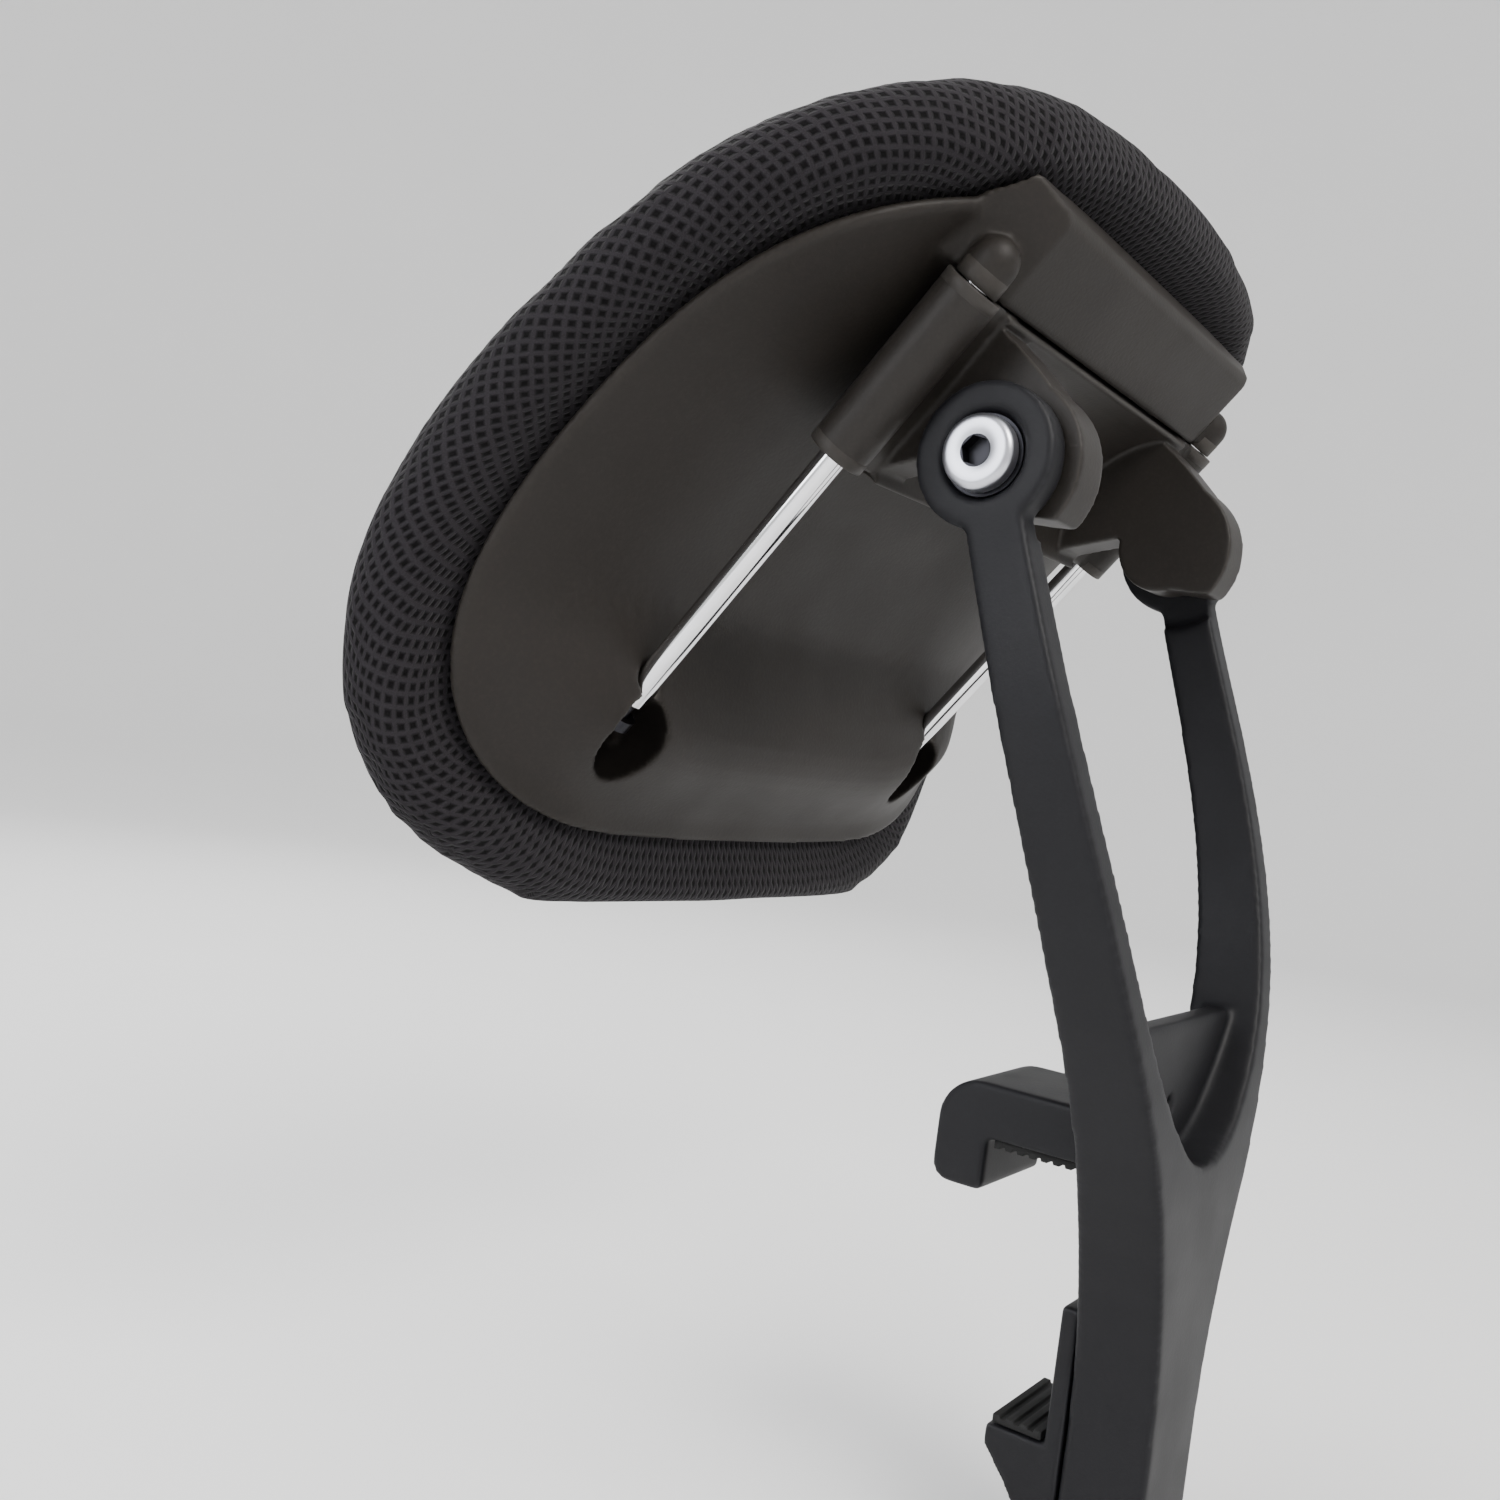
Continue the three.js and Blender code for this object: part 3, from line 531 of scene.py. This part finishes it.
# ---------------------------------------------------------------- tilt pivot
def make_pivot_bolt(side, s):
    """A button-head bolt with a flat face, a soft rim and a hex socket."""
    shank, head, face, base, tip = 4, 7, 59.3, 55.7, 41
    profile = [(0, tip), (shank - 0.6, tip), (shank, tip + 0.6), (shank, base), (head - 0.3, base)]
    rim = 1.5
    profile += [(head, base + 0.3), (head, face - rim)]
    for t in spread(0, math.pi / 2, 6)[1:]:
        profile.append((head - rim + rim * math.cos(t), face - rim + rim * math.sin(t)))
    profile += [(3.3, face), (3.0, face - 0.15), (0, face - 0.15)]
    bolt = turned("pivot_button_bolt_" + side, [(r * MM, h * MM) for r, h in profile], PIVOT, (s, 0, 0), 72)
    mouth = PIVOT + Vector((s * face * MM, 0, 0))
    boolean(bolt, hex_socket("hex", mouth, (s, 0, 0), 5, 2.7), "DIFFERENCE")
    finished(shade(bolt, 32), SILVER, "carriage", "silver_steel", "pivot_bolt_" + side)
    # Painted shade inside the hex socket.
    paint_socket_shade(bolt, PIVOT + Vector((s * (face - 0.2) * MM, 0, 0)), Vector((s, 0, 0)))
    return bolt


def paint_socket_shade(screw, mouth, outwards):
    """Paints the faces inside a screw's hex socket with black oxide as painted shade."""
    screw.data.materials.append(BLACK_STEEL)
    for face in screw.data.polygons:
        away = Vector(face.center) - mouth
        depth = away.dot(outwards)
        if -0.0036 < depth < 0.0001 and (away - outwards * depth).length < 0.00292:
            face.material_index = 1


def make_ring(name, node, side, size, material, slot):
    """A chamfered washer on the tilt axis: outer and inner radius, then where it starts and ends."""
    outer, inner, low, high = size
    soft = 0.12
    profile = [(inner, low + soft), (inner + soft, low), (outer - soft, low), (outer, low + soft)]
    profile += [(outer, high - soft), (outer - soft, high), (inner + soft, high), (inner, high - soft)]
    piece = turned(name + side, [(r * MM, h * MM) for r, h in profile], PIVOT, (dict(SIDES)[side], 0, 0))
    return finished(shade(piece, 35), material, "carriage", slot, node + side)


# ---------------------------------------------------------------- carriage
def make_carriage():
    body = remeshed(copy_of("carriage", "slide_carriage"), 0.55, 5)
    ends = []
    for _, s in SIDES:
        for low, high in ((SLEEVE_BOTTOM, SLEEVE_BOTTOM + 2.5), (SLEEVE_TOP - 2.5, SLEEVE_TOP)):
            ends.append(crisp_end("sleeve_end", s, SLEEVE_BORE, SLEEVE_RADIUS, low, high))
    piece = shade(merged("slide_carriage", [body, *ends]), 60)
    return finished(piece, CARRIAGE_PLASTIC, "carriage", "moulded_plastic", "carriage")


# ---------------------------------------------------------------- pad
def plate_rows(inset, back, front, steps=26):
    """A curved plate with a rounded rim."""
    middle, half = (back + front) / 2, (back - front) / 2
    turns = spread(-math.pi / 2, math.pi / 2, 6)
    rim = [(inset + half * (1 - math.cos(t)), middle + half * math.sin(t)) for t in turns]
    ins = spread(HALF_HEIGHT, inset + half + 1, steps)
    return [*[(i, front) for i in ins], *rim, *[(i, back) for i in reversed(ins)]]


def rod_tool(s, radius, low, high, name="bore"):
    start, end = head_point(s * ROD_X, ROD_Y, low), head_point(s * ROD_X, ROD_Y, high)
    length = (end - start).length
    return turned(name, [(0, 0), (radius * MM, 0), (radius * MM, length), (0, length)], start, ROD_UP, 48)


def recess_tool(s):
    """The recess below a rod's lower end."""
    bounds = spread(-90, 90, 24)
    profile = []
    for t in bounds:
        profile.append((math.cos(math.radians(t)) if abs(t) < 90 else 0, math.sin(math.radians(t))))
    tool = turned("leaf", profile, (0, 0, 0), (0, 0, 1), 40)
    place = Matrix.Translation((s * ROD_X, RECESS_Y, RECESS_Z)) @ Matrix.Diagonal((*RECESS_RADII, 1))
    tool.data.transform(HEAD_MM @ place)
    return tool


def rod_housing(s):
    """A housing round a rod's upper end, domed on top."""
    start, up = head_point(s * ROD_X, ROD_Y, BLOCK_BOTTOM), DOME_Z - BLOCK_BOTTOM
    profile = [(0, 0), (HOUSING_RADIUS, 0)]
    for t in spread(0, math.pi / 2, 12)[:-1]:
        profile.append((HOUSING_RADIUS * math.cos(t), up + HOUSING_RADIUS * math.sin(t)))
    profile += [(0, up + HOUSING_RADIUS)]
    return turned("housing", [(r * MM, h * MM) for r, h in profile], start, ROD_UP, 48)


def rod_block():
    """The block across the shell's top: a flat face, sloping ends, and a housing for each rod."""
    across = [(-HALF_FOOT, BLOCK_FOOT), (HALF_FOOT, BLOCK_FOOT)]
    across += [(HALF_FACE, BLOCK_BACK), (-HALF_FACE, BLOCK_BACK)]
    block = prism("block", across, "z", BLOCK_BOTTOM, BLOCK_TOP)
    side = [(BLOCK_FOOT, BLOCK_BOTTOM), (BLOCK_BACK, BLOCK_BOTTOM), (BLOCK_BACK, FACE_TOP)]
    side += [(BLOCK_BACK - 1.6, FACE_TOP + 1.9), (BLOCK_FOOT + 2.5, BLOCK_TOP), (BLOCK_FOOT, BLOCK_TOP)]
    boolean(block, prism("side", side, "x", -80, 80), "INTERSECT")
    for _, s in SIDES:
        boolean(block, rod_housing(s), "UNION")
    return boolean(block, pad_body("roll_space", roll_rows(ROLL + 0.5, 0, 345, 23)), "DIFFERENCE")


def crisp_end(name, s, inner, outer, low, high):
    """The end of a tube round a rod, which the remesh would round away."""
    start, length, soft = head_point(s * ROD_X, ROD_Y, low), high - low, 0.15
    profile = [(inner, soft), (inner + soft, 0), (outer - soft, 0), (outer, soft)]
    profile += [(outer, length - soft), (outer - soft, length)]
    profile += [(inner + soft, length), (inner, length - soft)]
    return turned(name, [(r * MM, h * MM) for r, h in profile], start, ROD_UP, 64)


def socket_tools(s):
    """What is cut out round a rod's lower end: the leaf, the rod's bore and the lock screw's two bores."""
    return [
        recess_tool(s),
        rod_tool(s, ROD_RADIUS + 0.35, ROD_BOTTOM - 0.3, SOCKET_TOP + 14),
        rod_tool(s, SCREW_RADIUS + 0.3, SHOULDER_Z - 1, ROD_BOTTOM),
        rod_tool(s, SCREW_HEAD_RADIUS + 0.8, SHOULDER_Z - 8, SHOULDER_Z),
    ]


def make_back_shell():
    skin = pad_body("skin", plate_rows(SHELL_INSET, SHELL_BACK, SHELL_FRONT), swelled=True)
    block = rod_block()
    sockets = []
    for _, s in SIDES:
        under = pad_body("under", plate_rows(SHELL_INSET + 1, SHELL_BACK - 0.2, -10), swelled=True)
        socket = rod_tool(s, SOCKET_RADIUS, SOCKET_BOTTOM, SOCKET_TOP, "socket")
        sockets.append(boolean(socket, under, "INTERSECT"))
    for _, s in SIDES:
        boolean(block, rod_tool(s, ROD_RADIUS + 0.35, BLOCK_BOTTOM - 1, ROD_TOP + 0.5), "DIFFERENCE")
    body = remeshed(merged("moulded_back_shell", [skin, block, *sockets]), 0.7)
    for _, s in SIDES:
        for tool in socket_tools(s):
            boolean(body, tool, "DIFFERENCE")
    body = remeshed(body, 0.75, 4)
    ends = []
    for _, s in SIDES:
        ends.append(crisp_end("housing_end", s, ROD_RADIUS + 0.3, HOUSING_RADIUS, BLOCK_BOTTOM, 24))
    piece = shade(merged("moulded_back_shell", [body, *ends]), 60)
    # Painted shade inside the leaf-shaped recesses below the rods.
    mark_recess_shade(piece)
    return finished(piece, SHELL_PLASTIC, "pad", "moulded_plastic", "back_shell")


def mark_recess_shade(piece):
    """Marks the inside of each leaf-shaped recess, 1 where it is deepest, for the painted shade in the
    shell's material.
    """
    to_head = HEAD_MM.inverted()
    marks = []
    for vertex in piece.data.vertices:
        x, y, z = to_head @ vertex.co
        from_middle = (abs(x) - ROD_X, y - RECESS_Y, z - RECESS_Z)
        share = math.hypot(*(away / radius for away, radius in zip(from_middle, RECESS_RADII)))
        marks.append(1 - smooth_step(0.98, 1.07, share))
    painted_recess_shade = piece.data.attributes.new("painted_recess_shade", "FLOAT", "POINT")
    painted_recess_shade.data.foreach_set("value", marks)


def make_rod(side, s):
    soft, bore, bore_depth = 0.5, SCREW_RADIUS + 0.3, 5.5
    length = ROD_TOP - ROD_BOTTOM
    profile = [(0, bore_depth), (bore, bore_depth), (bore, 0), (ROD_RADIUS - soft, 0), (ROD_RADIUS, soft)]
    profile += [(ROD_RADIUS, length - soft), (ROD_RADIUS - soft, length), (0, length)]
    start = head_point(s * ROD_X, ROD_Y, ROD_BOTTOM)
    rod = turned("plated_rod_" + side, [(r * MM, h * MM) for r, h in profile], start, ROD_UP, 72)
    return finished(shade(rod, 30), CHROME, "pad", "chrome", "chrome_rod_" + side)


# ---------------------------------------------------------------- cushion
CUSHION_START = 1.3  # how much smaller than its finished size the cushion is before it swells
MOST_SWELL = 0.0024
CLOTH_FRAMES = 20


def cushion_rows(shrink):
    radius = ROLL - shrink
    front = crown_rows(radius, CROWN - shrink)
    roll = roll_rows(radius, -90, 144, 30)
    back = [(16.5, 4.6), *[(inset, 3.3) for inset in spread(18, HALF_HEIGHT, 8)]]
    return [*front, *roll, *back]


def weave_insets(rows):
    """How far in from the outline each row lies on the flat cloth before it is wrapped round the roll."""
    first_on_roll = next(i for i, (inset, _) in enumerate(rows) if inset < 1)
    flat = [inset for inset, _ in rows[:first_on_roll + 1]]
    for before, after in zip(rows[first_on_roll:], rows[first_on_roll + 1:]):
        flat.append(flat[-1] - math.dist(before, after))
    return flat


def weave_map(rows):
    """The cushion's formula surface with the flat cloth's coordinates at each point."""
    flat = weave_insets(rows)
    points, cloth, rings = [], [], []
    for (inset, h), sheet in zip(rows, flat):
        rings.append(len(points))
        for k in range(PAD_SEGMENTS):
            angle = 2 * math.pi * k / PAD_SEGMENTS
            s, z = outline(inset, angle) if inset < HALF_HEIGHT else (0, MID_Z)
            points.append(head_point(*pad_point(s, z, h)))
            flat_s, flat_z = outline(sheet, angle) if abs(sheet) < HALF_HEIGHT else (0, MID_Z)
            cloth.append(Vector((flat_s, flat_z, 0)))
    faces = []
    for low, high in zip(rings, rings[1:]):
        for k in range(PAD_SEGMENTS):
            after = (k + 1) % PAD_SEGMENTS
            faces.append((low + k, low + after, high + after, high + k))
    return points, cloth, faces


def inflate(piece, held):
    """Swells the cushion by cloth simulation. held gives each point's hold, 1 where it can't move."""
    group = piece.vertex_groups.new(name="held")
    for index, weight in enumerate(held):
        group.add([index], weight, "REPLACE")
    rest = np.array([v.co for v in piece.data.vertices])
    cloth = piece.modifiers.new("cloth", "CLOTH")
    cloth.settings.quality = 6
    cloth.settings.mass = 0.25
    cloth.settings.tension_stiffness = 18
    cloth.settings.compression_stiffness = 18
    cloth.settings.bending_stiffness = 0.4
    cloth.settings.use_pressure = True
    cloth.settings.uniform_pressure_force = 4
    cloth.settings.vertex_group_mass = "held"
    cloth.settings.effector_weights.gravity = 0
    cloth.collision_settings.use_collision = False
    cloth.point_cache.frame_start = 1
    cloth.point_cache.frame_end = CLOTH_FRAMES
    for step in range(1, CLOTH_FRAMES + 1):
        bpy.context.scene.frame_set(step)
    applied(piece)
    bpy.context.scene.frame_set(1)
    moved = np.array([v.co for v in piece.data.vertices]) - rest
    length = np.linalg.norm(moved, axis=1, keepdims=True)
    moved *= np.minimum(1, MOST_SWELL / np.maximum(length, 1e-9))
    piece.data.vertices.foreach_set("co", (rest + moved).astype(np.float32).ravel())


def make_cushion():
    rows = cushion_rows(CUSHION_START)
    piece = remeshed(pad_body("cushion", rows), 4, 2)
    points, cloth, faces = weave_map(rows)
    nearest = BVHTree.FromPolygons(points, faces)
    flat = weave_insets(rows)
    tucked = -math.radians(175) * (ROLL - CUSHION_START)

    def sheet_at(point):
        found, _, index, _ = nearest.find_nearest(point)
        corners = faces[index]
        shares = poly_3d_calc([points[c] for c in corners], found)
        row = index // PAD_SEGMENTS
        where = sum((cloth[c] * share for c, share in zip(corners, shares)), Vector())
        return where, flat[row]
    held = [1.0 if sheet_at(v.co)[1] < tucked else 0.0 for v in piece.data.vertices]
    inflate(piece, held)
    subdivision = piece.modifiers.new("subdivision", "SUBSURF")
    subdivision.levels = subdivision.render_levels = 1
    applied(piece)
    weave = piece.data.attributes.new("weave", "FLOAT_VECTOR", "POINT")
    values = np.array([sheet_at(v.co)[0] for v in piece.data.vertices], np.float32)
    weave.data.foreach_set("vector", values.ravel())
    piece.name = "mesh_cushion"
    finished(shade(piece), MESH, "pad", "mesh_fabric", "mesh_cover")
    return piece


def make_foam():
    """The foam inside the cover."""
    piece = remeshed(pad_body("foam_core", cushion_rows(CUSHION_START + 4)), 4, 2)
    finished(shade(piece), FOAM, "pad", "foam", "foam_pad")
    return piece


# ---------------------------------------------------------------- carried-over nodes
SMALL_NODES = {
    "jaw_nut": BRASS, "screw_washer": SILVER, "screw_clip": BLACK_STEEL, "carrier_board": BOARD,
    "threaded_insert": BRASS, "lower_bushing": ACETAL, "upper_bushing": ACETAL, "grip_ring": RUBBER,
    "rod_grub": BLACK_STEEL, "rod_lock_screw": BLACK_STEEL, "shell_screw": BLACK_STEEL,
}


def finish_small_nodes():
    """Small CAD pieces keep their own shape, with broken edges and their materials."""
    for name, node in frame["nodes"].items():
        kind = next((k for k in SMALL_NODES if name.startswith(k)), None)
        if kind is None:
            continue
        node.data.materials.clear()
        node.data.materials.append(SMALL_NODES[kind])
        shade(node, 35)
        bevel = node.modifiers.new("broken_edges", "BEVEL")
        bevel.width = 0.00012
        bevel.segments = 2
        bevel.limit_method = "ANGLE"
        bevel.angle_limit = math.radians(35)


# ---------------------------------------------------------------- studio
CAMERA_AT = (0.2985, 0.1118, 0.0772)
CAMERA_AZIMUTH, CAMERA_ELEVATION, CAMERA_ROLL = 124.4, 0.63, 7.61


def bearing(azimuth, elevation):
    """The direction towards a place seen at these angles, in degrees."""
    turn, rise = math.radians(azimuth), math.radians(elevation)
    return Vector((math.sin(turn) * math.cos(rise), -math.cos(turn) * math.cos(rise), math.sin(rise)))


def make_camera():
    data = bpy.data.cameras.new("camera")
    data.sensor_width = 36
    data.lens = 36
    data.clip_start = 0.01
    azimuth, roll = math.radians(CAMERA_AZIMUTH), math.radians(CAMERA_ROLL)
    back = bearing(CAMERA_AZIMUTH, CAMERA_ELEVATION)
    level = Vector((math.cos(azimuth), math.sin(azimuth), 0))
    upright = back.cross(level)
    right = level * math.cos(roll) + upright * math.sin(roll)
    camera = bpy.data.objects.new("camera", data)
    bpy.context.scene.collection.objects.link(camera)
    turn = Matrix((right, back.cross(right), back)).transposed().to_4x4()
    camera.matrix_world = Matrix.Translation(CAMERA_AT) @ turn
    bpy.context.scene.camera = camera


def make_light(name, azimuth, elevation, distance, size, power, colour=(1, 1, 1)):
    """A softbox that looks at the head from a bearing on the same scale as the camera's."""
    data = bpy.data.lights.new(name, "AREA")
    data.shape = "DISK"
    data.size = size
    data.energy = power
    data.color = colour
    light = bpy.data.objects.new(name, data)
    bpy.context.scene.collection.objects.link(light)
    away = bearing(azimuth, elevation)
    aim = away.to_track_quat("Z", "Y").to_matrix().to_4x4()
    light.matrix_world = Matrix.Translation(PIVOT + away * distance) @ aim


def make_studio():
    """A pale floor that curves up into a pale wall all round."""
    floor_z = cad_box[0].z - 0.004
    flat, bend, wall = 1.3, 0.7, 2.6
    profile = [(0, 0), *[(flat * k / 6, 0) for k in range(1, 7)]]
    for t in spread(0, math.pi / 2, 16)[1:]:
        profile.append((flat + bend * math.sin(t), bend * (1 - math.cos(t))))
    profile += [(flat + bend, wall)]
    points, faces, segments = [(0, 0, floor_z)], [], 96
    for radius, height in profile[1:]:
        for k in range(segments):
            angle = 2 * math.pi * k / segments
            points.append((radius * math.cos(angle), radius * math.sin(angle), floor_z + height))
    for k in range(segments):
        after = (k + 1) % segments
        faces.append((0, 1 + k, 1 + after))
        for row in range(len(profile) - 2):
            low, high = 1 + row * segments, 1 + (row + 1) * segments
            faces.append((low + k, high + k, high + after, low + after))
    floor = new_piece("studio_floor", points, faces, Matrix.Identity(4))
    floor.data.shade_smooth()
    floor.data.materials.append(PAPER)
    world = bpy.data.worlds.new("studio")
    world.use_nodes = True
    world.node_tree.nodes["Background"].inputs["Color"].default_value = (1, 1, 1, 1)
    world.node_tree.nodes["Background"].inputs["Strength"].default_value = 1.1
    bpy.context.scene.world = world
    make_light("key", 160, 42, 0.9, 0.5, 9, (1, 0.97, 0.93))
    make_light("fill", 70, 20, 1.0, 0.7, 7, (0.94, 0.96, 1))
    make_light("front", -20, 40, 1.1, 0.8, 9)


make_camera()
make_studio()
make_fork()
make_clamp_jaw()
make_liner("hook_liner", "fork", -1)
make_liner("jaw_liner", "clamp_jaw", 1)
make_clamp_screw()
make_carriage()
for side, s in SIDES:
    make_pivot_bolt(side, s)
    make_ring("wave_washer_", "spring_washer_", side, (7.7, 4.3, 54.35, 55.45), BLACK_STEEL, "black_steel")
    make_ring("thrust_washer_", "friction_washer_", side, (9.6, 4.4, 49.7, 50.1), ACETAL, "bushing_plastic")
    make_rod(side, s)
make_back_shell()
make_foam()
make_cushion()
finish_small_nodes()

bpy.context.view_layer.update()
